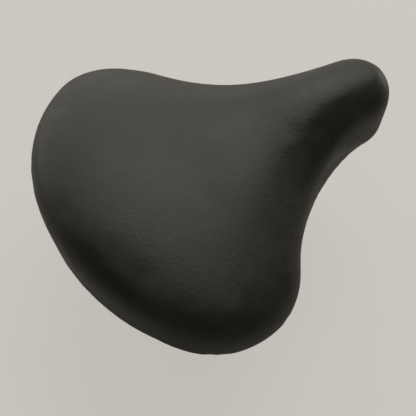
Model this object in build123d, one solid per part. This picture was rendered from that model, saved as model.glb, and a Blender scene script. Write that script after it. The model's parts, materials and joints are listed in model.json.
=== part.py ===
from build123d import *
import os
from math import cos, radians, sin, sqrt

os.makedirs("parts", exist_ok=True)

# Wide sprung bicycle saddle with its seat-post clamp. Millimetres.
# +X runs to the nose, +Y to the rider's left, +Z up; the origin is the middle of the clamp bore.

# Seat-post clamp: a slotted band leaning with the post, and a cross bolt behind it.
POST_R = 11.1
POST_FIT = 0.05
POST_LEAN = 20.0
BAND_T = 3.0
BAND_HEIGHT = 22.0
BAND_SLOT = 4.0
EAR_Y = 11.0
EAR_R = 9.0
BOLT_BEHIND_BAND = 7.85
BOLT_R = 4.0
BOLT_PROUD = 3.0
WASHER_R = 8.5
WASHER_T = 1.8
NUT_FLATS = 13.0
NUT_T = 6.5

# Serrated discs and the grooved plates that grip the rails.
DISC_RIM = 3.0
TEETH = 24
TOOTH = 0.9
TOOTH_HUB = 1.5
TURN_FIT = 0.08
TURN_GAP = 0.2
PLATE_INNER_T = 6.8
PLATE_OUTER_T = 6.8
PLATE_SPLIT = 0.2
PLATE_LENGTH = 34.0
PLATE_BELOW_BOLT = 10.0
PLATE_OVER_RAIL = 3.5
PLATE_CORNER_R = 6.0
SLIDE_FIT = 0.08

# Rails: two round steel bars, level through the clamp and raised at the nose.
RAIL_R = 3.5
RAIL_Y = 22.0
RAIL_ABOVE_BOLT = 9.3
RAIL_KNEE_X = 32.0
RAIL_BEND_R = 20.0
RAIL_FRONT_Y = 7.0
RAIL_LEAD_IN = 2.0

# Padded top, seen from above: arcs tangent to each other round the tail, lobes, waists and nose.
LENGTH = 265.0
WIDTH = 247.0
TAIL_X = -138.0
TAIL_R = 154.0
LOBE_R = 56.5
WAIST_R = 148.0
NOSE_R = 28.8

# Padded top, seen from the side.
SKIRT_ABOVE_RAIL = 26.2
ARCH = 6.0
TUCK = 4.5
BULGE = 10.0
WALL_HEIGHT = 82.0
DRAFT = 0.5
EDGE_R = 22.0

# Crown sections: distance from the tail, height over the skirt, fall to the rim, margin past the outline.
TAIL_SECTIONS = (
    (-12.0, 53.0, 23.0, 24.0),
    (43.0, 60.5, 23.0, 24.0),
    (95.0, 54.0, 24.5, 30.0),
)
# The same, with distances from the nose's tip.
NOSE_SECTIONS = (
    (72.0, 57.0, 21.0, 24.0),
    (32.0, 59.0, 16.5, 9.0),
    (-13.0, 52.5, 17.0, 9.0),
)
# Between the two: height over the skirt, fall to the rim, margin past the outline.
WAIST_SECTION = (50.5, 23.0, 36.0)
CROWN_DEPTH = 160.0

# Base shell under the padding.
PAD_SIDE = 10.0
PAD_TOP = 20.0
SHELL_T = 3.0
RIB_T = 2.5
RIB_DEPTH = 9.0
LONG_RIBS_Y = (-32.0, 0.0, 32.0)
CROSS_RIBS_X = (-60.0, -10.0, 35.0)
RIB_END_GAP = 8.0
SPRING_CLEARANCE = 3.0

# Nose bracket that takes the rails' front ends.
BRACKET_FROM_TIP = 20.0
BRACKET_LENGTH = 19.0
BRACKET_WIDTH = 22.0
BRACKET_HEIGHT = 13.0
BRACKET_CORNER_R = 3.0
BRACKET_ABOVE_SKIRT = 14.0

# Springs, the seats that centre them and the bolts through the seats.
SPRING_BEHIND_LOBE = 29.0
SPRING_INSIDE_LOBE = 1.0
COIL_R = 13.5
WIRE = 4.5
TURNS = 5
COIL_STEPS = 16
WIRE_SIDES = 8
SPRING_HEIGHT = 48.0
SEAT_T = 1.5
SEAT_RIM = 1.25
HUB_FIT = 0.75
HUB_HEIGHT = 6.0
SEAT_BOLT_R = 4.0
SEAT_BOLT_HEAD = 5.5
SEAT_BOLT_PROUD = 2.0

# Rear yoke under the springs, with the clips of the rails' rear ends.
YOKE_T = 3.0
YOKE_GAP = 0.3
YOKE_STRIP = 28.0
YOKE_RIM = 1.0
FLANGE_T = 2.5
FLANGE_DROP = 4.0
CLIP_T = 3.0
CLIP_LENGTH = 22.0
CLIP_OVERHANG = 2.0

SIDES = (("left", 1), ("right", -1))

band_r = POST_R + POST_FIT + BAND_T
bolt_back = band_r + BOLT_BEHIND_BAND
bolt_x = -bolt_back * cos(radians(POST_LEAN))
bolt_z = -bolt_back * sin(radians(POST_LEAN))
disc_r = EAR_R + DISC_RIM
disc_y = EAR_Y + TURN_GAP
inner_y = RAIL_Y - PLATE_SPLIT / 2 - PLATE_INNER_T
outer_y = RAIL_Y + PLATE_SPLIT / 2
washer_y = outer_y + PLATE_OUTER_T + TURN_GAP
nut_y = washer_y + WASHER_T
bolt_end_y = nut_y + NUT_T + BOLT_PROUD

rail_z = bolt_z + RAIL_ABOVE_BOLT
skirt_z = rail_z + SKIRT_ABOVE_RAIL
tip_x = TAIL_X + LENGTH


def arc_centres():
    """Centres of the tail, left lobe, left waist and nose arcs."""
    tail = Vector(TAIL_X + TAIL_R, 0)
    lobe_y = WIDTH / 2 - LOBE_R
    lobe = Vector(tail.X - sqrt((TAIL_R - LOBE_R) ** 2 - lobe_y ** 2), lobe_y)
    nose = Vector(tip_x - NOSE_R, 0)
    to_lobe = WAIST_R + LOBE_R
    to_nose = WAIST_R + NOSE_R
    span = (nose - lobe).length
    ahead = (nose - lobe).normalized()
    foot = (to_lobe ** 2 - to_nose ** 2 + span ** 2) / (2 * span)
    off = sqrt(to_lobe ** 2 - foot ** 2)
    waist = lobe + ahead * foot + Vector(-ahead.Y, ahead.X) * off
    return tail, lobe, waist, nose


bracket_x = tip_x - BRACKET_FROM_TIP - BRACKET_LENGTH
bracket_z = skirt_z + BRACKET_ABOVE_SKIRT
spring_x = arc_centres()[1].X - SPRING_BEHIND_LOBE
spring_y = arc_centres()[1].Y - SPRING_INSIDE_LOBE
yoke_z = rail_z - RAIL_R - YOKE_GAP
seat_z = yoke_z + SEAT_T
spring_top_z = seat_z + SPRING_HEIGHT
hub_r = COIL_R - WIRE / 2 - HUB_FIT
seat_r = COIL_R + WIRE / 2 + SEAT_RIM
clip_x = spring_x - YOKE_STRIP / 2 - CLIP_OVERHANG


def save(node, solid):
    solid.label = node
    export_step(solid, f"parts/{node}.step")


def mirrored(solid, side):
    return solid if side > 0 else mirror(solid, about=Plane.XZ)


def box(x0, x1, y0, y1, z0, z1):
    size = (x1 - x0, y1 - y0, z1 - z0)
    middle = ((x0 + x1) / 2, (y0 + y1) / 2, (z0 + z1) / 2)
    return Pos(*middle) * Box(*size)


def rod_x(y, z, x0, x1, radius):
    return Pos((x0 + x1) / 2, y, z) * Rot(Y=90) * Cylinder(radius, x1 - x0)


def rod_y(x, z, y0, y1, radius):
    return Pos(x, (y0 + y1) / 2, z) * Rot(X=90) * Cylinder(radius, y1 - y0)


def rod_z(x, y, z0, z1, radius):
    return Pos(x, y, (z0 + z1) / 2) * Cylinder(radius, z1 - z0)


def hexagon(flats, depth):
    return extrude(RegularPolygon(flats / 2, 6, major_radius=False), depth)


# Padded top and shell.

def half_width(x):
    """Half the outline's width at x, with the widest value behind the lobes' centres."""
    tail, lobe, waist, nose = arc_centres()
    flank = lobe + (waist - lobe).normalized() * LOBE_R
    neck = nose + (waist - nose).normalized() * NOSE_R
    if x < lobe.X:
        return WIDTH / 2
    if x < flank.X:
        return lobe.Y + sqrt(LOBE_R ** 2 - (x - lobe.X) ** 2)
    if x < neck.X:
        return waist.Y - sqrt(WAIST_R ** 2 - (x - waist.X) ** 2)
    return NOSE_R


def plan(inset, z):
    """Outline of the padded top, moved inwards by inset, as a face at height z."""
    tail, lobe, waist, nose = arc_centres()
    hip = lobe + (lobe - tail).normalized() * (LOBE_R - inset)
    flank = lobe + (waist - lobe).normalized() * (LOBE_R - inset)
    neck = nose + (waist - nose).normalized() * (NOSE_R - inset)

    def at(point, side):
        return (point.X, side * point.Y, z)

    def bow(centre, radius, start, end):
        middle = (start - centre).normalized() + (end - centre).normalized()
        return centre + middle.normalized() * radius

    lobe_bow = bow(lobe, LOBE_R - inset, hip, flank)
    waist_bow = bow(waist, WAIST_R + inset, flank, neck)
    edges = [
        ThreePointArc(at(hip, 1), (TAIL_X + inset, 0, z), at(hip, -1)),
        ThreePointArc(at(neck, 1), (tip_x - inset, 0, z), at(neck, -1)),
    ]
    for side in (1, -1):
        edges.append(ThreePointArc(at(hip, side), at(lobe_bow, side), at(flank, side)))
        edges.append(ThreePointArc(at(flank, side), at(waist_bow, side), at(neck, side)))
    return make_face(edges)


def crown(drop):
    """Block whose top is the crowned seat surface, lowered by drop."""
    tail = [(TAIL_X + away, *rest) for away, *rest in TAIL_SECTIONS]
    nose = [(tip_x - away, *rest) for away, *rest in NOSE_SECTIONS]
    waist_x = (tail[-1][0] + nose[0][0]) / 2
    floor = skirt_z - CROWN_DEPTH
    sections = []
    for x, height, fall, margin in [*tail, (waist_x, *WAIST_SECTION), *nose]:
        top = skirt_z + height - drop
        radius = (half_width(x) ** 2 + fall ** 2) / (2 * fall)
        half = min(half_width(x) + margin, 0.97 * radius)
        edge = top - radius + sqrt(radius ** 2 - half ** 2)
        arc = ThreePointArc((x, -half, edge), (x, 0, top), (x, half, edge))
        sides = Polyline((x, half, edge), (x, half, floor), (x, -half, floor), (x, -half, edge))
        sections.append(make_face([arc, sides]))
    return loft(sections)


def belly():
    """Cylinder that arches the lower rim."""
    half = LENGTH / 2
    radius = (half ** 2 + ARCH ** 2) / (2 * ARCH)
    return rod_y(TAIL_X + half, skirt_z + ARCH - radius, -WIDTH, WIDTH, radius)


def make_blank():
    """Outer form of the padded top: crowned, rounded at the rim and tucked in at the foot."""
    wall = extrude(plan(0, skirt_z), WALL_HEIGHT, dir=(0, 0, 1), taper=DRAFT)
    block = wall & crown(0)
    rim = [edge for face in block.faces().filter_by(faces_up) for edge in face.edges()]
    block = fillet(rim, EDGE_R)
    foot = loft([plan(TUCK, skirt_z), plan(0, skirt_z + BULGE)], ruled=True)
    above = box(TAIL_X, tip_x, -WIDTH / 2, WIDTH / 2, skirt_z + BULGE, skirt_z + WALL_HEIGHT)
    return block & (foot + above) - belly()


def faces_up(face):
    return face.normal_at().Z > 0.5


def make_core(inset, drop):
    """Outer or inner surface block of the shell."""
    return (extrude(plan(inset, skirt_z), WALL_HEIGHT, dir=(0, 0, 1), taper=DRAFT) & crown(drop)) - belly()


def make_shell(outer, inner):
    top_z = skirt_z + WALL_HEIGHT
    lowered = Pos(0, 0, -RIB_DEPTH) * inner
    webs = [box(TAIL_X, tip_x, y - RIB_T / 2, y + RIB_T / 2, skirt_z, top_z) for y in LONG_RIBS_Y]
    for x in CROSS_RIBS_X:
        reach = half_width(x) - PAD_SIDE - SHELL_T - RIB_END_GAP
        webs.append(box(x - RIB_T / 2, x + RIB_T / 2, -reach, reach, skirt_z, top_z))
    clear_r = seat_r + SPRING_CLEARANCE
    free = [rod_z(spring_x, side * spring_y, skirt_z, spring_top_z, clear_r) for _, side in SIDES]
    ribs = ((inner - lowered) & Part() + webs) - free
    half = BRACKET_WIDTH / 2
    posts = [box(bracket_x, bracket_x + BRACKET_LENGTH, -half, half, bracket_z + BRACKET_HEIGHT / 2, top_z)]
    hubs = []
    for _, side in SIDES:
        posts.append(rod_z(spring_x, side * spring_y, spring_top_z, top_z, seat_r))
        hubs.append(rod_z(spring_x, side * spring_y, spring_top_z - HUB_HEIGHT, spring_top_z, hub_r))
    bosses = inner & Part() + posts
    return outer - inner + ribs + bosses + hubs


# Undercarriage.

def make_rail():
    front_x = bracket_x + BRACKET_LENGTH
    path = FilletPolyline(
        (clip_x, RAIL_Y, rail_z),
        (RAIL_KNEE_X, RAIL_Y, rail_z),
        (bracket_x - RAIL_LEAD_IN, RAIL_FRONT_Y, bracket_z),
        (front_x, RAIL_FRONT_Y, bracket_z),
        radius=RAIL_BEND_R,
    )
    return sweep(Plane(origin=path @ 0, z_dir=path % 0) * Circle(RAIL_R), path=path)


def make_bracket():
    half = BRACKET_WIDTH / 2
    low = bracket_z - BRACKET_HEIGHT / 2
    block = box(bracket_x, bracket_x + BRACKET_LENGTH, -half, half, low, low + BRACKET_HEIGHT)
    return fillet(block.edges().filter_by(Axis.Z), BRACKET_CORNER_R)


def make_yoke():
    low = yoke_z - YOKE_T
    back, front = spring_x - YOKE_STRIP / 2, spring_x + YOKE_STRIP / 2
    yoke = box(back, front, -spring_y, spring_y, low, yoke_z)
    end = spring_y - seat_r - YOKE_RIM
    for x in (back, front - FLANGE_T):
        yoke += box(x, x + FLANGE_T, -end, end, low - FLANGE_DROP, low)
    for _, side in SIDES:
        y = side * RAIL_Y
        clip_r = RAIL_R + CLIP_T
        yoke += rod_z(spring_x, side * spring_y, low, yoke_z, seat_r + YOKE_RIM)
        yoke += rod_x(y, rail_z, clip_x, clip_x + CLIP_LENGTH, clip_r) & box(
            clip_x, clip_x + CLIP_LENGTH, y - clip_r, y + clip_r, yoke_z, rail_z + clip_r)
        yoke += box(clip_x, clip_x + CLIP_LENGTH, y - clip_r, y + clip_r, yoke_z, rail_z)
        yoke -= rod_z(spring_x, side * spring_y, low, yoke_z, SEAT_BOLT_R)
    return yoke


def make_seat():
    flange = rod_z(spring_x, spring_y, yoke_z, seat_z, seat_r)
    hub = rod_z(spring_x, spring_y, yoke_z, seat_z + HUB_HEIGHT, hub_r)
    return flange + hub - rod_z(spring_x, spring_y, yoke_z, seat_z + HUB_HEIGHT, SEAT_BOLT_R)


def make_seat_bolt():
    low = yoke_z - YOKE_T
    nut_z = seat_z + HUB_HEIGHT
    shank = rod_z(spring_x, spring_y, low, nut_z + NUT_T + SEAT_BOLT_PROUD, SEAT_BOLT_R)
    head = Pos(spring_x, spring_y, low - SEAT_BOLT_HEAD) * hexagon(NUT_FLATS, SEAT_BOLT_HEAD)
    nut = Pos(spring_x, spring_y, nut_z) * hexagon(NUT_FLATS, NUT_T)
    return shank + head + nut


def make_spring():
    """Coil of wire bent in short straight steps, its two ends ground flat."""
    run = SPRING_HEIGHT - WIRE / 2
    steps = TURNS * COIL_STEPS
    points = []
    for step in range(steps + 1):
        turn = 360.0 * step / COIL_STEPS
        points.append((COIL_R * cos(radians(turn)), COIL_R * sin(radians(turn)), run * step / steps))
    path = Polyline(*points)
    section = Plane(origin=path @ 0, z_dir=path % 0) * RegularPolygon(WIRE / 2, WIRE_SIDES)
    wire = Pos(0, 0, WIRE / 4) * sweep(section, path=path, transition=Transition.RIGHT)
    reach = COIL_R + WIRE
    ground = wire & box(-reach, reach, -reach, reach, 0, SPRING_HEIGHT)
    return Pos(spring_x, spring_y, seat_z) * ground


# Clamp.

def grooves(x, z, y):
    """V grooves that fan out round the bolt on the face at y."""
    inner_r = BOLT_R + TOOTH_HUB
    bar = Pos((inner_r + disc_r) / 2, 0, 0) * Rot(X=45) * Box(disc_r - inner_r, TOOTH, TOOTH)
    return [Pos(x, y, z) * Rot(Y=360.0 * tooth / TEETH) * bar for tooth in range(TEETH)]


def make_band():
    ring = Cylinder(band_r, BAND_HEIGHT)
    ears = box(-bolt_back, 0, -EAR_Y, EAR_Y, -EAR_R, EAR_R) + rod_y(-bolt_back, 0, -EAR_Y, EAR_Y, EAR_R)
    slot = box(-bolt_back - EAR_R, 0, -BAND_SLOT / 2, BAND_SLOT / 2, -BAND_HEIGHT, BAND_HEIGHT)
    bore = Cylinder(POST_R + POST_FIT, BAND_HEIGHT)
    band = ring + ears - slot - bore - rod_y(-bolt_back, 0, -EAR_Y, EAR_Y, BOLT_R)
    teeth = grooves(-bolt_back, 0, EAR_Y) + grooves(-bolt_back, 0, -EAR_Y)
    return Rot(Y=-POST_LEAN) * (band - teeth)


def make_disc():
    disc = rod_y(bolt_x, bolt_z, disc_y, inner_y, disc_r)
    return disc - rod_y(bolt_x, bolt_z, disc_y, inner_y, BOLT_R + TURN_FIT) - grooves(bolt_x, bolt_z, disc_y)


def make_plate(y0, y1):
    """Rail plate between y0 and y1, rounded seen from the side, with the rail's groove."""
    x0 = bolt_x - PLATE_LENGTH / 2
    x1 = x0 + PLATE_LENGTH
    plate = box(x0, x1, y0, y1, bolt_z - PLATE_BELOW_BOLT, rail_z + RAIL_R + PLATE_OVER_RAIL)
    plate = fillet(plate.edges().filter_by(Axis.Y), PLATE_CORNER_R)
    groove = rod_x(RAIL_Y, rail_z, x0, x1, RAIL_R + SLIDE_FIT)
    return plate - groove - rod_y(bolt_x, bolt_z, y0, y1, BOLT_R + TURN_FIT)


def make_washer():
    washer = rod_y(bolt_x, bolt_z, washer_y, nut_y, WASHER_R)
    return washer - rod_y(bolt_x, bolt_z, washer_y, nut_y, BOLT_R)


def make_nut():
    nut = Pos(bolt_x, nut_y, bolt_z) * Rot(X=-90) * hexagon(NUT_FLATS, NUT_T)
    return nut - rod_y(bolt_x, bolt_z, nut_y, nut_y + NUT_T, BOLT_R)


shell_outer = make_core(PAD_SIDE, PAD_TOP)
shell_inner = make_core(PAD_SIDE + SHELL_T, PAD_TOP + SHELL_T)
rail = make_rail()
rails = rail + mirrored(rail, -1)

save("cover_pad", make_blank() - shell_outer)
save("base_shell", make_shell(shell_outer, shell_inner))
save("nose_bracket", make_bracket() - rails)
save("rear_yoke", make_yoke() - rails)
save("clamp_band", make_band())
save("clamp_bolt", rod_y(bolt_x, bolt_z, -bolt_end_y, bolt_end_y, BOLT_R))

pairs = {
    "rail": rail,
    "spring": make_spring(),
    "spring_seat": make_seat(),
    "seat_bolt": make_seat_bolt(),
    "clamp_disc": make_disc(),
    "rail_plate_inner": make_plate(inner_y, RAIL_Y - PLATE_SPLIT / 2),
    "rail_plate_outer": make_plate(outer_y, outer_y + PLATE_OUTER_T),
    "clamp_washer": make_washer(),
    "clamp_nut": make_nut(),
}
for name, piece in pairs.items():
    for word, side in SIDES:
        save(f"{name}_{word}", mirrored(piece, side))
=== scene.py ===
"""Looks of a wide sprung bicycle saddle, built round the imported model. Metres, in the model's frame."""
import json
from math import atan2, cos, radians, sin, sqrt, tau

import bmesh
import bpy
from mathutils import Matrix, Vector
from mathutils.bvhtree import BVHTree

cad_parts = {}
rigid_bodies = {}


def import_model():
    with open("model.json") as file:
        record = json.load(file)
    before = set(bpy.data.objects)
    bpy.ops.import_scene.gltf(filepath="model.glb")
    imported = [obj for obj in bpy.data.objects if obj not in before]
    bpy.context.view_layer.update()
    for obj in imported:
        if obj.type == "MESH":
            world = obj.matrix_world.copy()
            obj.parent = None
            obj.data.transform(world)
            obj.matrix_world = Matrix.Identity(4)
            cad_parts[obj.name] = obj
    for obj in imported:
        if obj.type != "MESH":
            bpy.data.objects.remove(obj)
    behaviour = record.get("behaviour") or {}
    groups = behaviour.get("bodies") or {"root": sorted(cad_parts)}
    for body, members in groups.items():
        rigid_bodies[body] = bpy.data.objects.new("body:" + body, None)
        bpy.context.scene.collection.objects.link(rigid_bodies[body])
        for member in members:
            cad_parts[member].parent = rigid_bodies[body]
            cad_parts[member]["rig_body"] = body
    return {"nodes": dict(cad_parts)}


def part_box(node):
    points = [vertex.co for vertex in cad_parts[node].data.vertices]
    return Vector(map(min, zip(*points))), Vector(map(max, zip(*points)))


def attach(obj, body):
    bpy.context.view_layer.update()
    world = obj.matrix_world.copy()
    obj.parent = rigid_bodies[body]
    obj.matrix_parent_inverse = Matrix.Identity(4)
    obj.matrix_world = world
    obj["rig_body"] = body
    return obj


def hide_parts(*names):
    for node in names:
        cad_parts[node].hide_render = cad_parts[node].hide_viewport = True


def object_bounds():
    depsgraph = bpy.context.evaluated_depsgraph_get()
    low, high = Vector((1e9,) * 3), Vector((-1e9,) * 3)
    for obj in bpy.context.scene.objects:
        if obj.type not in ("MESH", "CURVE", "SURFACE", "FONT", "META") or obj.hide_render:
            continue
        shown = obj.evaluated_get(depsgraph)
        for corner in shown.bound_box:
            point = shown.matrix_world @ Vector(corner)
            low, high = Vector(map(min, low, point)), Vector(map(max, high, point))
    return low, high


MM = 0.001

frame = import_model()
nodes = frame["nodes"]
cad_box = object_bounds()

# Each side's word and its direction along Y.
SIDES = (("left", 1), ("right", -1))

# Outline of the padded top, in the source's own sizes.
LENGTH = 265 * MM
WIDTH = 247 * MM
TAIL_X = -138 * MM
TAIL_R = 154 * MM
LOBE_R = 56.5 * MM
WAIST_R = 148 * MM
NOSE_R = 28.8 * MM
ARCH = 6 * MM
SKIRT_Z = 27.976 * MM

# Cover: the skin's grid, how near the shell it is held, and how far the foam may stand past the solid.
SKIN_GRID = 4 * MM
HELD_WITHIN = 3.2 * MM
SWELL = 1.0 * MM
FOAM_PRESSURE = 4
SWELL_FRAMES = 20

# Hem: how finely it is turned, its pleats, and the arcs' radius at which they are deepest.
HEM_STEP = 2 * MM
PLEAT_DEPTH = 1.1 * MM
PLEAT_R = 32 * MM

# Staples: how far in from the outline and how far above the rim they sit, and how far apart.
STAPLE_INSET = 14.75 * MM
STAPLE_HEIGHT = 6.2 * MM
STAPLE_PITCH = 15 * MM

# Springs.
COIL_R = 13.5 * MM
WIRE = 4.5 * MM
COIL_TURNS = 5

# M8 bolts and nuts.
THREAD_R = 4 * MM
THREAD_PITCH = 1.25 * MM
FLATS = 13 * MM
NUT_BORE_R = 4.2 * MM
SEAT_HEAD = 5.5 * MM
SEAT_NUT = 6.5 * MM
SEAT_BOLT_PAST_NUT = 2 * MM
STUD_THREAD = 17 * MM

# Socket screws of the nose bracket.
SCREW_R = 4.2 * MM
SCREW_HEAD = 3.2 * MM
SCREW_SOCKET = 3 * MM

# Camera: angles in degrees. The focal length, and the target's place from the middle, in pixels.
FRAME_PIXELS = 416
SENSOR = 36
AZIMUTH = 61.48
ELEVATION = 56.82
ROLL = 0.08
DISTANCE = 338.15 * MM
FOCAL = 499.18
TARGET = Vector((-18.75, 0, 68)) * MM
TARGET_RIGHT = 4.85
TARGET_DOWN = -59.73

# Room: the floor, the pale backdrop that it fades into, the pale walls' direction in degrees, and the
# lamps. The saddle hangs on a seat post that isn't shown: the floor lies clear of it at every tilt.
FLOOR_DROP = 42 * MM
FLOOR_HALF = 6.0
BACKDROP = "#e6e3db"
BACKDROP_STRENGTH = 0.9
WALLS_AZIMUTH = 75
LAMP_COLOUR = "#fffcf6"
LAMP_TARGET = Vector((0, 0, 50)) * MM


# Meshes.

def placed(name, data):
    """New object of the data, in the scene."""
    obj = bpy.data.objects.new(name, data)
    bpy.context.scene.collection.objects.link(obj)
    return obj


def mesh_of(name, bm):
    """Mesh of the bmesh, which is used up."""
    mesh = bpy.data.meshes.new(name)
    bm.to_mesh(mesh)
    bm.free()
    return mesh


def piece(name, bm, body, material, smooth=True):
    """Makes a piece of the bmesh and hangs it on its body."""
    obj = placed(name, mesh_of(name, bm))
    obj.data.materials.append(material)
    if smooth:
        obj.data.shade_smooth()
    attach(obj, body)
    return obj


def flats_kept(obj):
    """Keeps the piece's flats flat and its curves smooth in the shading."""
    obj.data.set_sharp_from_angle(angle=radians(32))
    return obj


def joined(bm, other, matrix):
    """Adds a copy of other, moved by the matrix, to bm."""
    mesh = bpy.data.meshes.new("part")
    other.to_mesh(mesh)
    mesh.transform(matrix)
    if matrix.determinant() < 0:
        mesh.flip_normals()
    bm.from_mesh(mesh)
    bpy.data.meshes.remove(mesh)


def merged_copy(node):
    """Bmesh of a node with its loose triangles welded."""
    bm = bmesh.new()
    bm.from_mesh(nodes[node].data)
    bmesh.ops.remove_doubles(bm, verts=bm.verts, dist=0.005 * MM)
    return bm


def only(items, kind):
    """Those of the items that are of the kind: vertices, edges or faces."""
    return [item for item in items if isinstance(item, kind)]


def settled(bm):
    """Puts edges and faces in order of place, since spin and extrude leave them in one that varies by run.
    Elements that were picked before it must not be used after it, because sorting moves their data."""
    def rank(element):
        verts = element.verts
        return sum(v.co.x + 1.7 * v.co.y + 2.9 * v.co.z for v in verts) / len(verts)

    bm.edges.sort(key=rank)
    bm.faces.sort(key=rank)


def cut(bm, point, normal):
    """Cuts off what lies past the plane and closes the cut."""
    geom = bm.verts[:] + bm.edges[:] + bm.faces[:]
    made = bmesh.ops.bisect_plane(
        bm, geom=geom, dist=0.001 * MM, plane_co=point, plane_no=normal, clear_outer=True)
    edges = only(made["geom_cut"], bmesh.types.BMEdge)
    if edges:
        bmesh.ops.edgenet_fill(bm, edges=edges)


def cut_square(bm, low, high):
    """Cuts bm off flat at both heights."""
    cut(bm, Vector((0, 0, low)), Vector((0, 0, -1)))
    cut(bm, Vector((0, 0, high)), Vector((0, 0, 1)))
    bmesh.ops.recalc_face_normals(bm, faces=bm.faces)


def softened(node, width, material):
    """The node again with its sharp edges rounded, as pressing and plating leave them."""
    bm = merged_copy(node)
    bmesh.ops.dissolve_limit(bm, angle_limit=radians(0.5), verts=bm.verts, edges=bm.edges)
    sharp = [e for e in bm.edges if len(e.link_faces) == 2 and e.calc_face_angle(0) > radians(28)]
    bmesh.ops.bevel(
        bm, geom=sharp, offset=width, segments=2, profile=0.5, affect="EDGES", material=-1,
        clamp_overlap=True)
    obj = piece(node + "_finished", bm, nodes[node]["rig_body"], material)
    obj.modifiers.new("normals", "WEIGHTED_NORMAL").keep_sharp = True
    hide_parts(node)


def hexagon_block(flats, height, chamfers):
    """Hexagon of a nut or bolt head on z = 0, its corners turned down at the chamfers' heights."""
    bm = bmesh.new()
    radius = flats / 2 / cos(radians(30))
    bmesh.ops.create_cone(
        bm, cap_ends=True, segments=6, radius1=radius, radius2=radius, depth=height,
        matrix=Matrix.Translation((0, 0, height / 2)))
    facets = 24
    start = flats / 2 * 0.97
    slope = 1.73
    for end in chamfers:
        up = 1 if end else -1
        for step in range(facets):
            turn = tau * step / facets
            out = Vector((cos(turn), sin(turn), 0))
            cut(bm, out * start + Vector((0, 0, end)), out + Vector((0, 0, up * slope)))
    return bm


def nut(flats, height, bore):
    """Hexagon nut on z = 0, chamfered at both ends and countersunk round its bore."""
    bm = hexagon_block(flats, height, (0, height))
    for up in (1, -1):
        end = max(bm.faces, key=lambda face: up * face.calc_center_median().z)
        bmesh.ops.inset_individual(bm, faces=[end], thickness=flats / 2 * 0.94 - bore, depth=0)
        bmesh.ops.translate(bm, vec=(0, 0, -up * 0.6 * MM), verts=end.verts)
        bmesh.ops.scale(bm, vec=(0.9, 0.9, 1), verts=end.verts)
    bmesh.ops.recalc_face_normals(bm, faces=bm.faces)
    return bm


def threaded_rod(radius, low, high, pitch):
    """Rod along z with a V thread, cut square at both ends."""
    bm = bmesh.new()
    root = radius - pitch * 0.5
    turns = int((high - low) / pitch) + 2
    # Distance from the axis and share of the pitch: root, both edges of the crest, next root.
    profile = ((root, 0.0), (radius, 0.42), (radius, 0.58), (root, 1.0))
    line = [bm.verts.new((across, 0, low - pitch + pitch * share)) for across, share in profile]
    edges = [bm.edges.new(pair) for pair in zip(line, line[1:])]
    steps = 20
    bmesh.ops.spin(
        bm, geom=line + edges, cent=(0, 0, 0), axis=(0, 0, 1), dvec=(0, 0, pitch / steps),
        angle=tau * turns, steps=steps * turns, use_merge=False, use_duplicate=False)
    bmesh.ops.remove_doubles(bm, verts=bm.verts, dist=0.02 * MM)
    cut_square(bm, low, high)
    return bm


def coil_spring(radius, wire, height, turns):
    """Compression spring on z = 0: closed end turns, open turns between, ends ground flat."""
    bm = bmesh.new()
    sides, steps = 14, 40
    lift = wire * 0.12
    ring = bmesh.ops.create_circle(
        bm, cap_ends=False, segments=sides, radius=wire / 2,
        matrix=Matrix.Translation((radius, 0, lift)) @ Matrix.Rotation(radians(90), 4, "X"))
    last = ring["verts"] + bm.edges[:]
    closed = wire * 1.03
    open_rise = height - 2 * lift - 2 * closed
    for number, rise in ((1, closed), (turns - 2, open_rise), (1, closed)):
        made = bmesh.ops.spin(
            bm, geom=last, cent=(0, 0, 0), axis=(0, 0, 1), dvec=(0, 0, rise / number / steps),
            angle=tau * number, steps=steps * number, use_merge=False, use_duplicate=False)
        last = made["geom_last"]
    settled(bm)
    bmesh.ops.remove_doubles(bm, verts=bm.verts, dist=0.01 * MM)
    bmesh.ops.holes_fill(bm, edges=[e for e in bm.edges if e.is_boundary], sides=sides)
    cut_square(bm, 0, height)
    return bm


def socket_screw(head_r, head_height, socket):
    """Cap screw's head on z = 0, with its hexagon socket."""
    bm = bmesh.new()
    bmesh.ops.create_circle(bm, cap_ends=False, segments=24, radius=head_r)
    rim = bm.edges[:]
    bmesh.ops.holes_fill(bm, edges=rim, sides=24)
    # Rise and scale of each ring: the wall, then two that round its upper edge.
    for rise, scale in ((head_height - 0.7 * MM, 1.0), (0.45 * MM, 0.96), (0.25 * MM, 0.88)):
        made = bmesh.ops.extrude_edge_only(bm, edges=rim)
        verts = only(made["geom"], bmesh.types.BMVert)
        rim = [edge for edge in only(made["geom"], bmesh.types.BMEdge) if edge.is_boundary]
        bmesh.ops.translate(bm, vec=(0, 0, rise), verts=verts)
        bmesh.ops.scale(bm, vec=(scale, scale, 1), verts=verts)
    before = set(bm.edges)
    bmesh.ops.create_circle(
        bm, cap_ends=False, segments=6, radius=socket / 2 / cos(radians(30)),
        matrix=Matrix.Translation((0, 0, head_height)))
    hexagon = [edge for edge in bm.edges if edge not in before]
    bmesh.ops.bridge_loops(bm, edges=rim + hexagon)
    made = bmesh.ops.extrude_edge_only(bm, edges=hexagon)
    verts = only(made["geom"], bmesh.types.BMVert)
    bmesh.ops.translate(bm, vec=(0, 0, -0.6 * head_height), verts=verts)
    bmesh.ops.holes_fill(bm, edges=[edge for edge in bm.edges if edge.is_boundary], sides=6)
    settled(bm)
    bmesh.ops.recalc_face_normals(bm, faces=bm.faces)
    return bm


# Materials.

def linear(colour):
    """Linear colour of an sRGB hex value."""
    shares = [int(colour[i:i + 2], 16) / 255 for i in (1, 3, 5)]
    return [s / 12.92 if s <= 0.04045 else ((s + 0.055) / 1.055) ** 2.4 for s in shares] + [1.0]


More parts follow.
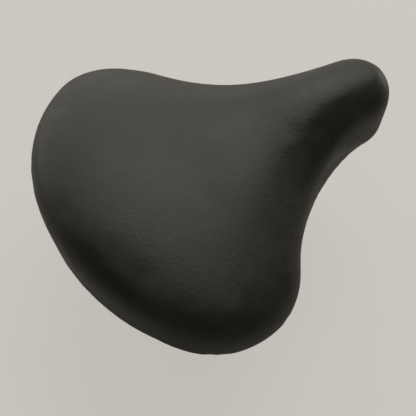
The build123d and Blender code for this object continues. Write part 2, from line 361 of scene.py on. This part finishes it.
def new_material(name, colour, roughness, metallic=0.0, ior=1.5):
    """Material with one shader, and its tree and shader."""
    material = bpy.data.materials.new(name)
    material.use_nodes = True
    tree = material.node_tree
    shader = tree.nodes["Principled BSDF"]
    shader.inputs["Base Color"].default_value = linear(colour)
    shader.inputs["Roughness"].default_value = roughness
    shader.inputs["Metallic"].default_value = metallic
    shader.inputs["IOR"].default_value = ior
    return material, tree, shader


def add(tree, kind, inputs=(), **settings):
    """Adds a node with its settings, and sets or links its inputs."""
    node = tree.nodes.new(kind)
    for key, value in settings.items():
        setattr(node, key, value)
    for socket, value in dict(inputs).items():
        if isinstance(value, bpy.types.NodeSocket):
            tree.links.new(value, node.inputs[socket])
        else:
            node.inputs[socket].default_value = value
    return node


def per(size):
    """Noise scale for features of that size."""
    return 1 / size


def raised(tree, shader, pattern, strength, depth):
    """Lets the pattern raise the surface, by up to about the depth."""
    bump = add(tree, "ShaderNodeBump", {"Height": pattern, "Strength": strength, "Distance": depth})
    tree.links.new(bump.outputs["Normal"], shader.inputs["Normal"])


def varied(tree, shader, toned_by, tones, glossed_by, gloss, span=(0.3, 0.7)):
    """Lets a pattern mix two tones, and another take roughness from one value to the next over its span."""
    tone = add(tree, "ShaderNodeMix", {
        "Factor": toned_by, "A": linear(tones[0]), "B": linear(tones[1])}, data_type="RGBA")
    tree.links.new(tone.outputs["Result"], shader.inputs["Base Color"])
    roughness = add(tree, "ShaderNodeMapRange", {
        "Value": glossed_by, "From Min": span[0], "From Max": span[1],
        "To Min": gloss[0], "To Max": gloss[1]})
    tree.links.new(roughness.outputs["Result"], shader.inputs["Roughness"])


def vinyl_material():
    """Soft polyurethane vinyl: near-black with an olive cast, satin, broken up by grain and handling."""
    material, tree, shader = new_material("soft_black_vinyl", "#2a2a23", 0.43, ior=1.43)
    place = add(tree, "ShaderNodeTexCoord").outputs["Object"]
    # Handling and dust: soft patches a few centimetres wide, and smaller smears, lighter and duller.
    patches = add(tree, "ShaderNodeTexNoise", {"Vector": place, "Scale": per(48 * MM), "Detail": 2.0})
    smears = add(tree, "ShaderNodeTexNoise", {
        "Vector": place, "Scale": per(14 * MM), "Detail": 5.0, "Roughness": 0.65})
    film = add(tree, "ShaderNodeMix", {
        "Factor": 0.4, "A": patches.outputs["Fac"], "B": smears.outputs["Fac"]}, data_type="FLOAT")
    wear = add(tree, "ShaderNodeMapRange", {
        "Value": film.outputs["Result"], "From Min": 0.35, "From Max": 0.65}).outputs["Result"]
    varied(tree, shader, wear, ("#1f211b", "#363328"), wear, (0.36, 0.5), span=(0.0, 1.0))
    # Embossed grain: pebbles of about 0.8 mm, drawn at 1.6 mm so that they show.
    pebbles = add(tree, "ShaderNodeTexVoronoi", {
        "Vector": place, "Scale": per(1.6 * MM), "Randomness": 1.0}, feature="SMOOTH_F1")
    creases = add(tree, "ShaderNodeTexNoise", {"Vector": place, "Scale": per(3.2 * MM), "Detail": 4.0})
    grain = add(tree, "ShaderNodeMath", {0: pebbles.outputs["Distance"], 1: creases.outputs["Fac"]},
                operation="ADD")
    raised(tree, shader, grain.outputs[0], 0.6, 0.15 * MM)
    return material


def shell_material():
    """Polypropylene moulded in an etched tool: black, satin, with an even fine stipple."""
    material, tree, shader = new_material("moulded_polypropylene", "#1d1d1e", 0.42)
    place = add(tree, "ShaderNodeTexCoord").outputs["Object"]
    flow = add(tree, "ShaderNodeTexNoise", {"Vector": place, "Scale": per(35 * MM), "Detail": 3.0})
    varied(tree, shader, flow.outputs["Fac"], ("#1a1a1b", "#242425"), flow.outputs["Fac"], (0.36, 0.5))
    stipple = add(tree, "ShaderNodeTexNoise", {"Vector": place, "Scale": per(0.9 * MM), "Detail": 2.0})
    raised(tree, shader, stipple.outputs["Fac"], 0.25, 0.08 * MM)
    return material


def coated_material():
    """Pressed steel with black electro-coat: thin, satin, with a slight orange peel and dusty patches."""
    material, tree, shader = new_material("black_electrocoat", "#1c1d1f", 0.38)
    place = add(tree, "ShaderNodeTexCoord").outputs["Object"]
    film = add(tree, "ShaderNodeTexNoise", {"Vector": place, "Scale": per(18 * MM), "Detail": 5.0})
    varied(tree, shader, film.outputs["Fac"], ("#17181a", "#26272a"), film.outputs["Fac"], (0.3, 0.48))
    peel = add(tree, "ShaderNodeTexNoise", {"Vector": place, "Scale": per(1.6 * MM), "Detail": 2.0})
    raised(tree, shader, peel.outputs["Fac"], 0.18, 0.06 * MM)
    return material


def enamel_material():
    """Stove enamel over spring steel: black and glossier, slightly wavy where it ran."""
    material, tree, shader = new_material("stoved_enamel", "#131416", 0.24)
    place = add(tree, "ShaderNodeTexCoord").outputs["Object"]
    film = add(tree, "ShaderNodeTexNoise", {"Vector": place, "Scale": per(12 * MM), "Detail": 4.0})
    varied(tree, shader, film.outputs["Fac"], ("#101113", "#1d1e20"), film.outputs["Fac"], (0.18, 0.34))
    runs = add(tree, "ShaderNodeTexNoise", {"Vector": place, "Scale": per(4 * MM), "Detail": 2.0})
    raised(tree, shader, runs.outputs["Fac"], 0.15, 0.1 * MM)
    return material


def zinc_material():
    """Bright zinc plate: pale grey metal with a faint spangle and tumbling marks."""
    material, tree, shader = new_material("bright_zinc_plate", "#cdd0d4", 0.3, metallic=1.0)
    place = add(tree, "ShaderNodeTexCoord").outputs["Object"]
    spangle = add(tree, "ShaderNodeTexVoronoi", {"Vector": place, "Scale": per(2.2 * MM)}, feature="F1")
    marks = add(tree, "ShaderNodeTexNoise", {"Vector": place, "Scale": per(1.2 * MM), "Detail": 4.0})
    varied(tree, shader, spangle.outputs["Distance"], ("#c4c7cb", "#d6d8dc"),
           marks.outputs["Fac"], (0.26, 0.36))
    raised(tree, shader, marks.outputs["Fac"], 0.08, 0.03 * MM)
    return material


def floor_material():
    """Matt painted board, pale and warm, with a faint roller texture; it fades into the backdrop."""
    material, tree, shader = new_material("matt_painted_board", "#f0ede7", 0.8)
    place = add(tree, "ShaderNodeTexCoord").outputs["Object"]
    roller = add(tree, "ShaderNodeTexNoise", {"Vector": place, "Scale": per(6 * MM), "Detail": 3.0})
    raised(tree, shader, roller.outputs["Fac"], 0.1, 0.2 * MM)
    # The camera sees mostly the backdrop's own colour here, and nothing else from two metres away.
    pale = add(tree, "ShaderNodeEmission", {"Color": linear(BACKDROP), "Strength": BACKDROP_STRENGTH})
    away = add(tree, "ShaderNodeVectorMath", {0: place}, operation="LENGTH")
    fade = add(tree, "ShaderNodeMapRange", {
        "Value": away.outputs["Value"], "From Min": 0.5, "From Max": 2.0, "To Min": 0.7, "To Max": 1.0})
    rays = add(tree, "ShaderNodeLightPath").outputs
    seen = add(tree, "ShaderNodeMath", {0: rays["Is Camera Ray"], 1: fade.outputs["Result"]},
               operation="MULTIPLY")
    both = add(tree, "ShaderNodeMixShader", {
        0: seen.outputs[0], 1: shader.outputs["BSDF"], 2: pale.outputs["Emission"]})
    tree.links.new(both.outputs["Shader"], tree.nodes["Material Output"].inputs["Surface"])
    return material


vinyl = vinyl_material()
plastic = shell_material()
coated = coated_material()
enamel = enamel_material()
zinc = zinc_material()

for node in nodes.values():
    node.data.materials.clear()
for node, material in (
        ("cover_pad", vinyl), ("base_shell", plastic), ("nose_bracket", coated), ("rear_yoke", coated),
        ("clamp_band", coated), ("clamp_bolt", zinc)):
    nodes[node].data.materials.append(material)
for word, _ in SIDES:
    for name, material in (
            ("rail", enamel), ("spring", enamel), ("spring_seat", coated), ("seat_bolt", zinc),
            ("clamp_disc", coated), ("rail_plate_inner", coated), ("rail_plate_outer", coated),
            ("clamp_washer", zinc), ("clamp_nut", zinc)):
        nodes[f"{name}_{word}"].data.materials.append(material)


# Padded cover.

def ironed(obj, held, passes):
    """Irons out the grid's steps, in and out by turns so that the form keeps its size."""
    bm = bmesh.new()
    bm.from_mesh(obj.data)
    free = [vert for vert in bm.verts if vert.index not in held]
    for _ in range(passes):
        for factor in (0.5, -0.52):
            bmesh.ops.smooth_vert(
                bm, verts=free, factor=factor, use_axis_x=True, use_axis_y=True, use_axis_z=True)
    bm.to_mesh(obj.data)
    bm.free()


def as_modified(obj):
    """Mesh of the object with its modifiers applied."""
    graph = bpy.context.evaluated_depsgraph_get()
    return bpy.data.meshes.new_from_object(obj.evaluated_get(graph))


def cover():
    """Vinyl over thick foam, as one seamless skin that swells a little past the form."""
    obj = placed("saddle_cover", mesh_of("saddle_cover", merged_copy("cover_pad")))
    remesh = obj.modifiers.new("even_grid", "REMESH")
    remesh.mode = "VOXEL"
    remesh.voxel_size = SKIN_GRID
    even = as_modified(obj)
    obj.modifiers.clear()
    obj.data = even
    shell = merged_copy("base_shell")
    shell_tree = BVHTree.FromBMesh(shell)
    shell.free()
    held = set()
    for vert in even.vertices:
        _, _, _, distance = shell_tree.find_nearest(vert.co)
        if distance < HELD_WITHIN:
            held.add(vert.index)
    ironed(obj, held, 10)
    swell(obj, held)
    obj.data.materials.clear()
    obj.data.materials.append(vinyl)
    obj.data.shade_smooth()
    finer = obj.modifiers.new("finer", "SUBSURF")
    finer.levels = finer.render_levels = 1
    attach(obj, "saddle")
    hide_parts("cover_pad")


def swell(obj, held):
    """Blows the foam up against its skin, with the points on the shell held still."""
    rest = [vert.co.copy() for vert in obj.data.vertices]
    group = obj.vertex_groups.new(name="held")
    group.add(sorted(held), 1.0, "REPLACE")
    cloth = obj.modifiers.new("skin", "CLOTH")
    cloth.settings.use_pressure = True
    cloth.settings.uniform_pressure_force = FOAM_PRESSURE
    cloth.settings.vertex_group_mass = "held"
    cloth.settings.effector_weights.gravity = 0
    scene = bpy.context.scene
    for number in range(1, SWELL_FRAMES + 1):
        scene.frame_set(number)
    blown = as_modified(obj)
    for vert, start, end in zip(obj.data.vertices, rest, blown.vertices):
        move = end.co - start
        if move.length > SWELL:
            move *= SWELL / move.length
        vert.co = start + move
    obj.modifiers.clear()
    obj.vertex_groups.clear()
    bpy.data.meshes.remove(blown)
    scene.frame_set(1)
    ironed(obj, held, 6)


cover()


# Hem: the vinyl's edge, folded round the shell's rim and stapled inside it.

def arcs():
    """Centre, radius, start, turn and side of the left half's arcs, from the tail to the nose's tip."""
    tail = Vector((TAIL_X + TAIL_R, 0, 0))
    lobe_y = WIDTH / 2 - LOBE_R
    lobe = Vector((tail.x - sqrt((TAIL_R - LOBE_R) ** 2 - lobe_y ** 2), lobe_y, 0))
    nose = Vector((TAIL_X + LENGTH - NOSE_R, 0, 0))
    to_lobe, to_nose = WAIST_R + LOBE_R, WAIST_R + NOSE_R
    span = (nose - lobe).length
    ahead = (nose - lobe).normalized()
    foot = (to_lobe ** 2 - to_nose ** 2 + span ** 2) / (2 * span)
    waist = lobe + ahead * foot + Vector((-ahead.y, ahead.x, 0)) * sqrt(to_lobe ** 2 - foot ** 2)
    hip, flank, neck = (
        atan2(way.y, way.x) for way in (lobe - tail, waist - lobe, waist - nose))
    back = radians(180)
    return (
        (tail, TAIL_R, back, hip - back, 1),
        (lobe, LOBE_R, hip, flank - hip, 1),
        (waist, WAIST_R, flank + back, neck - flank, -1),
        (nose, NOSE_R, neck, -neck, 1))


def arch(x):
    """Rise of the lower rim at x."""
    half = LENGTH / 2
    radius = (half ** 2 + ARCH ** 2) / (2 * ARCH)
    return sqrt(radius ** 2 - min(half, abs(x - TAIL_X - half)) ** 2) - radius + ARCH


def gathered(vert, pleat):
    """How far the vertex moves out where the vinyl's inner face is gathered into pleats."""
    height = vert.co.z - SKIRT_Z
    level = Vector((vert.normal.x, vert.normal.y, 0))
    inward = level.dot(Vector((vert.co.x, vert.co.y, 0))) < 0
    if height < 0.5 * MM or level.length < 0.3 or not inward:
        return Vector((0, 0, 0))
    angle = atan2(vert.co.y, vert.co.x - 20 * MM)
    wave = sin(angle * 61 + 1.7 * sin(angle * 23)) * 0.5 + 0.5
    return level.normalized() * wave * pleat * min(1, height / (9 * MM)) * PLEAT_DEPTH


def hem():
    """Folded strip spun along the outline's arcs, gathered into small pleats where the outline is tight."""
    # Inset from the outline and height above the rim, in millimetres: under the rim, up the inner wall
    # to the raw edge, and back along the shell.
    strip = (
        (7.0, 1.5), (7.0, -0.4), (7.6, -1.1), (10.0, -1.2), (13.0, -1.1), (14.1, -0.5), (14.4, 0.6),
        (14.5, 4.0), (14.7, 8.0), (14.8, 10.5), (14.4, 11.0), (13.5, 10.8),
        (13.4, 6.0), (13.15, 0.0), (10.0, -0.05), (7.8, 0.1), (7.8, 1.5))
    bm = bmesh.new()
    pleat = bm.verts.layers.float.new("pleat")
    ring = [bm.verts.new((TAIL_X + inset * MM, 0, SKIRT_Z + height * MM)) for inset, height in strip]
    last = ring + [bm.edges.new(pair) for pair in zip(ring, ring[1:] + ring[:1])]
    for centre, radius, _, turn, side in arcs():
        steps = max(4, round(abs(turn) * radius / HEM_STEP))
        known = set(bm.verts)
        made = bmesh.ops.spin(
            bm, geom=last, cent=centre, axis=(0, 0, 1), angle=turn, steps=steps, use_merge=False,
            use_duplicate=False)
        last = made["geom_last"]
        tight = min(1.0, PLEAT_R / radius) if side > 0 else 0.0
        for vert in bm.verts:
            if vert not in known:
                vert[pleat] = tight
    settled(bm)
    half = bm.verts[:] + bm.edges[:] + bm.faces[:]
    bmesh.ops.mirror(bm, geom=half, matrix=Matrix.Identity(4), merge_dist=0.05 * MM, axis="Y")
    bmesh.ops.remove_doubles(bm, verts=bm.verts, dist=0.05 * MM)
    bmesh.ops.recalc_face_normals(bm, faces=bm.faces)
    bm.normal_update()
    for vert in bm.verts:
        vert.co += gathered(vert, vert[pleat])
        vert.co.z += arch(vert.co.x)
    bm.verts.layers.float.remove(pleat)
    piece("cover_hem", bm, "saddle", vinyl)


def staple():
    """Flat wire staple, its crown on the vinyl and its legs in the shell."""
    thick, wide, bend_r, leg, crown = 0.5 * MM, 0.9 * MM, 0.7 * MM, 1.2 * MM, 7.6 * MM
    bm = bmesh.new()
    bmesh.ops.create_grid(bm, x_segments=1, y_segments=1, size=0.5)
    bmesh.ops.scale(bm, vec=(thick, wide, 1), verts=bm.verts)
    bmesh.ops.translate(bm, vec=(-crown / 2 - bend_r, 0, -leg), verts=bm.verts)

    def drawn(end, vec):
        """Draws the wire's end on by the vector."""
        made = bmesh.ops.extrude_face_region(bm, geom=end)
        end = only(made["geom"], bmesh.types.BMFace)
        bmesh.ops.translate(bm, vec=vec, verts=end[0].verts)
        return end

    def bent(end, x):
        """Bends the wire's end a quarter turn round x."""
        geom = end + end[0].edges[:] + end[0].verts[:]
        made = bmesh.ops.spin(
            bm, geom=geom, cent=(x, 0, 0), axis=(0, 1, 0), angle=radians(90), steps=3,
            use_merge=False, use_duplicate=False)
        return only(made["geom_last"], bmesh.types.BMFace)

    end = drawn(bm.faces[:], (0, 0, leg))
    end = bent(end, -crown / 2)
    end = drawn(end, (crown, 0, 0))
    end = bent(end, crown / 2)
    drawn(end, (0, 0, -leg))
    settled(bm)
    bmesh.ops.recalc_face_normals(bm, faces=bm.faces)
    return bm


def staples():
    """A row of staples inside the rim, closer together round the nose."""
    one = staple()
    row = bmesh.new()
    for centre, radius, start, turn, side in arcs():
        reach = radius - side * STAPLE_INSET
        count = max(2, round(abs(turn) * radius / STAPLE_PITCH))
        for step in range(count):
            angle = start + turn * (step + 0.5) / count
            ray = Vector((cos(angle), sin(angle), 0))
            out = ray * side
            spot = centre + ray * reach
            spot.z = SKIRT_Z + STAPLE_HEIGHT + arch(spot.x)
            along = Vector((-out.y, out.x, 0))
            face = Matrix((along, Vector((0, 0, 1)), -out)).transposed().to_4x4()
            place = Matrix.Translation(spot) @ face
            joined(row, one, place)
            joined(row, one, Matrix.Scale(-1, 4, (0, 1, 0)) @ place)
    one.free()
    bmesh.ops.recalc_face_normals(row, faces=row.faces)
    piece("hem_staples", row, "saddle", zinc, smooth=False)


hem()
staples()


# Springs and the bolts of their seats.

def stood(low, high):
    """Place under the middle of a box, on z = 0."""
    return Vector((low.x + high.x, low.y + high.y, 0)) / 2


def spring(word):
    """Coil between the yoke and the shell."""
    low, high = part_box(f"spring_{word}")
    bm = coil_spring(COIL_R, WIRE, high.z - low.z, COIL_TURNS)
    bmesh.ops.translate(bm, verts=bm.verts, vec=stood(low, high) + Vector((0, 0, low.z)))
    obj = piece(f"coil_{word}", bm, "saddle", enamel)
    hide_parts(f"spring_{word}")


def seat_bolt(word):
    """Bolt up through the yoke and the spring's seat, with its nut."""
    low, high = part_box(f"seat_bolt_{word}")
    axis = stood(low, high)
    nut_z = high.z - SEAT_NUT - SEAT_BOLT_PAST_NUT
    thread_z = low.z + SEAT_HEAD - 0.5 * MM
    bm = bmesh.new()
    joined(bm, hexagon_block(FLATS, SEAT_HEAD, (0,)), Matrix.Translation(axis + Vector((0, 0, low.z))))
    joined(bm, nut(FLATS, SEAT_NUT, NUT_BORE_R), Matrix.Translation(axis + Vector((0, 0, nut_z))))
    joined(bm, threaded_rod(THREAD_R, thread_z, high.z, THREAD_PITCH), Matrix.Translation(axis))
    obj = flats_kept(piece(f"seat_bolt_{word}_finished", bm, "saddle", zinc))
    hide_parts(f"seat_bolt_{word}")


for word, _ in SIDES:
    spring(word)
    seat_bolt(word)


# Clamp's cross bolt and nuts.

def clamp_stud():
    """Cross bolt with a thread at each end of its plain shank."""
    low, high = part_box("clamp_bolt")
    bm = bmesh.new()
    bmesh.ops.create_cone(
        bm, cap_ends=True, segments=32, radius1=THREAD_R, radius2=THREAD_R,
        depth=2 * (high.y - STUD_THREAD + 1 * MM))
    thread = threaded_rod(THREAD_R, high.y - STUD_THREAD, high.y, THREAD_PITCH)
    for turn in (0, 180):
        joined(bm, thread, Matrix.Rotation(radians(turn), 4, "X"))
    across = Matrix.Rotation(radians(-90), 4, "X")
    bmesh.ops.transform(bm, matrix=Matrix.Translation((low + high) / 2) @ across, verts=bm.verts)
    obj = flats_kept(piece("clamp_stud", bm, "clamp", zinc))
    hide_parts("clamp_bolt")


def clamp_nut(word, side):
    """Nut on that side's end of the cross bolt."""
    low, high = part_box(f"clamp_nut_{word}")
    bolt_low, bolt_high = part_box("clamp_bolt")
    spot = (bolt_low + bolt_high) / 2
    spot.y = low.y if side > 0 else high.y
    bm = nut(FLATS, high.y - low.y, NUT_BORE_R)
    turn = Matrix.Rotation(radians(-90 * side), 4, "X")
    bmesh.ops.transform(bm, matrix=Matrix.Translation(spot) @ turn, verts=bm.verts)
    obj = flats_kept(piece(f"clamp_nut_{word}_finished", bm, "clamp", zinc))
    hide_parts(f"clamp_nut_{word}")


clamp_stud()
for word, side in SIDES:
    clamp_nut(word, side)


# Pressed, moulded and machined parts with their edges eased.

softened("nose_bracket", 0.8 * MM, plastic)
softened("rear_yoke", 0.6 * MM, coated)
softened("clamp_band", 0.5 * MM, coated)
for word, _ in SIDES:
    softened(f"rail_plate_inner_{word}", 0.6 * MM, coated)
    softened(f"rail_plate_outer_{word}", 0.6 * MM, coated)
    softened(f"spring_seat_{word}", 0.4 * MM, coated)
    softened(f"clamp_washer_{word}", 0.3 * MM, zinc)


def bracket_screws():
    """Two cap screws, head down, under the nose bracket."""
    low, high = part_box("nose_bracket")
    screw = socket_screw(SCREW_R, SCREW_HEAD, SCREW_SOCKET)
    head_down = Matrix.Rotation(radians(180), 4, "X")
    bm = bmesh.new()
    for share in (0.27, 0.73):
        spot = Vector((low.x + share * (high.x - low.x), 0, low.z))
        joined(bm, screw, Matrix.Translation(spot) @ head_down)
    flats_kept(piece("bracket_screws", bm, "saddle", zinc))


bracket_screws()


# Camera, lamps, room and floor.

def aim(azimuth, elevation, roll):
    """Right, up and forward directions of a camera."""
    a, e, r = radians(azimuth), radians(elevation), radians(roll)
    forward = Vector((cos(a) * cos(e), sin(a) * cos(e), -sin(e)))
    right = Vector((sin(a), -cos(a), 0))
    up = right.cross(forward)
    return cos(r) * right + sin(r) * up, cos(r) * up - sin(r) * right, forward


def photo_camera():
    """Camera at the photograph's viewing angle, aimed so that its target is at its place in the frame."""
    right, up, forward = aim(AZIMUTH, ELEVATION, ROLL)
    camera = placed("photo_camera", bpy.data.cameras.new("photo_camera"))
    camera.data.sensor_width = SENSOR
    camera.data.lens = SENSOR * FOCAL / FRAME_PIXELS
    camera.data.clip_start = 10 * MM
    pixel = DISTANCE / FOCAL
    spot = TARGET - forward * DISTANCE - right * (TARGET_RIGHT * pixel) + up * (TARGET_DOWN * pixel)
    turn = Matrix((right, up, -forward)).transposed().to_4x4()
    camera.matrix_world = Matrix.Translation(spot) @ turn
    bpy.context.scene.camera = camera


def around(azimuth, elevation, distance):
    """Place that far from the origin, at that azimuth and elevation."""
    a, e = radians(azimuth), radians(elevation)
    return Vector((cos(a) * cos(e), sin(a) * cos(e), sin(e))) * distance


def lamp(name, place, size, watts):
    """Large soft panel aimed at the saddle, out of the camera's sight."""
    light = bpy.data.lights.new(name, "AREA")
    light.shape = "RECTANGLE"
    light.size, light.size_y = size
    light.energy = watts
    light.color = linear(LAMP_COLOUR)[:3]
    obj = placed(name, light)
    obj.location = place
    obj.rotation_mode = "QUATERNION"
    obj.rotation_quaternion = (LAMP_TARGET - place).to_track_quat("-Z", "Y")
    obj.visible_camera = False


def room():
    """Dim warm room round the lamps, and the pale backdrop that the camera, glass and gloss see instead."""
    world = bpy.data.worlds.new("room")
    bpy.context.scene.world = world
    world.use_nodes = True
    tree = world.node_tree
    dim = tree.nodes["Background"]
    dim.inputs["Color"].default_value = linear("#ddd3c0")
    dim.inputs["Strength"].default_value = 0.06
    pale = add(tree, "ShaderNodeBackground", {"Color": linear(BACKDROP), "Strength": BACKDROP_STRENGTH})
    rays = add(tree, "ShaderNodeLightPath").outputs
    # Gloss mirrors the pale walls beyond the saddle. The near side of the room is dim, so that the
    # vinyl's shaded flanks stay dark.
    way = add(tree, "ShaderNodeTexCoord").outputs["Generated"]
    facing = add(tree, "ShaderNodeVectorMath", {0: way, 1: around(WALLS_AZIMUTH, 0, 1)},
                 operation="DOT_PRODUCT")
    lit = add(tree, "ShaderNodeMapRange", {
        "Value": facing.outputs["Value"], "From Min": 0.0, "From Max": 0.5, "To Min": 0.1, "To Max": 1.0})
    gloss = add(tree, "ShaderNodeMath", {0: rays["Is Glossy Ray"], 1: lit.outputs["Result"]},
                operation="MULTIPLY")
    clear = add(tree, "ShaderNodeMath", {0: rays["Is Transmission Ray"], 1: gloss.outputs[0]},
                operation="MAXIMUM")
    seen = add(tree, "ShaderNodeMath", {0: rays["Is Camera Ray"], 1: clear.outputs[0]}, operation="MAXIMUM")
    both = add(tree, "ShaderNodeMixShader", {
        0: seen.outputs[0], 1: dim.outputs["Background"], 2: pale.outputs["Background"]})
    tree.links.new(both.outputs["Shader"], tree.nodes["World Output"].inputs["Surface"])


def floor():
    """Wide pale floor below the hanging saddle."""
    bm = bmesh.new()
    bmesh.ops.create_grid(bm, x_segments=1, y_segments=1, size=FLOOR_HALF)
    bmesh.ops.translate(bm, vec=(0, 0, cad_box[0].z - FLOOR_DROP), verts=bm.verts)
    obj = placed("floor", mesh_of("floor", bm))
    obj.data.materials.append(floor_material())


photo_camera()

# Name, azimuth and elevation in degrees, distance, width and height in metres, and watts.
for name, azimuth, elevation, distance, size, watts in (
        ("window", 38, 57, 2.6, (2.1, 1.8), 20),
        ("white_wall", 90, 30, 2.6, (3.4, 3.2), 13),
        ("low_wall", 124, 5, 2.4, (1.3, 0.9), 1),
        ("ceiling", 200, 72, 2.6, (1.6, 1.3), 2.5),
        ("side_wall", 5, 2, 2.4, (1.0, 0.7), 4)):
    lamp(name, around(azimuth, elevation, distance), size, watts)

room()
floor()

bpy.context.scene.view_settings.view_transform = "Standard"
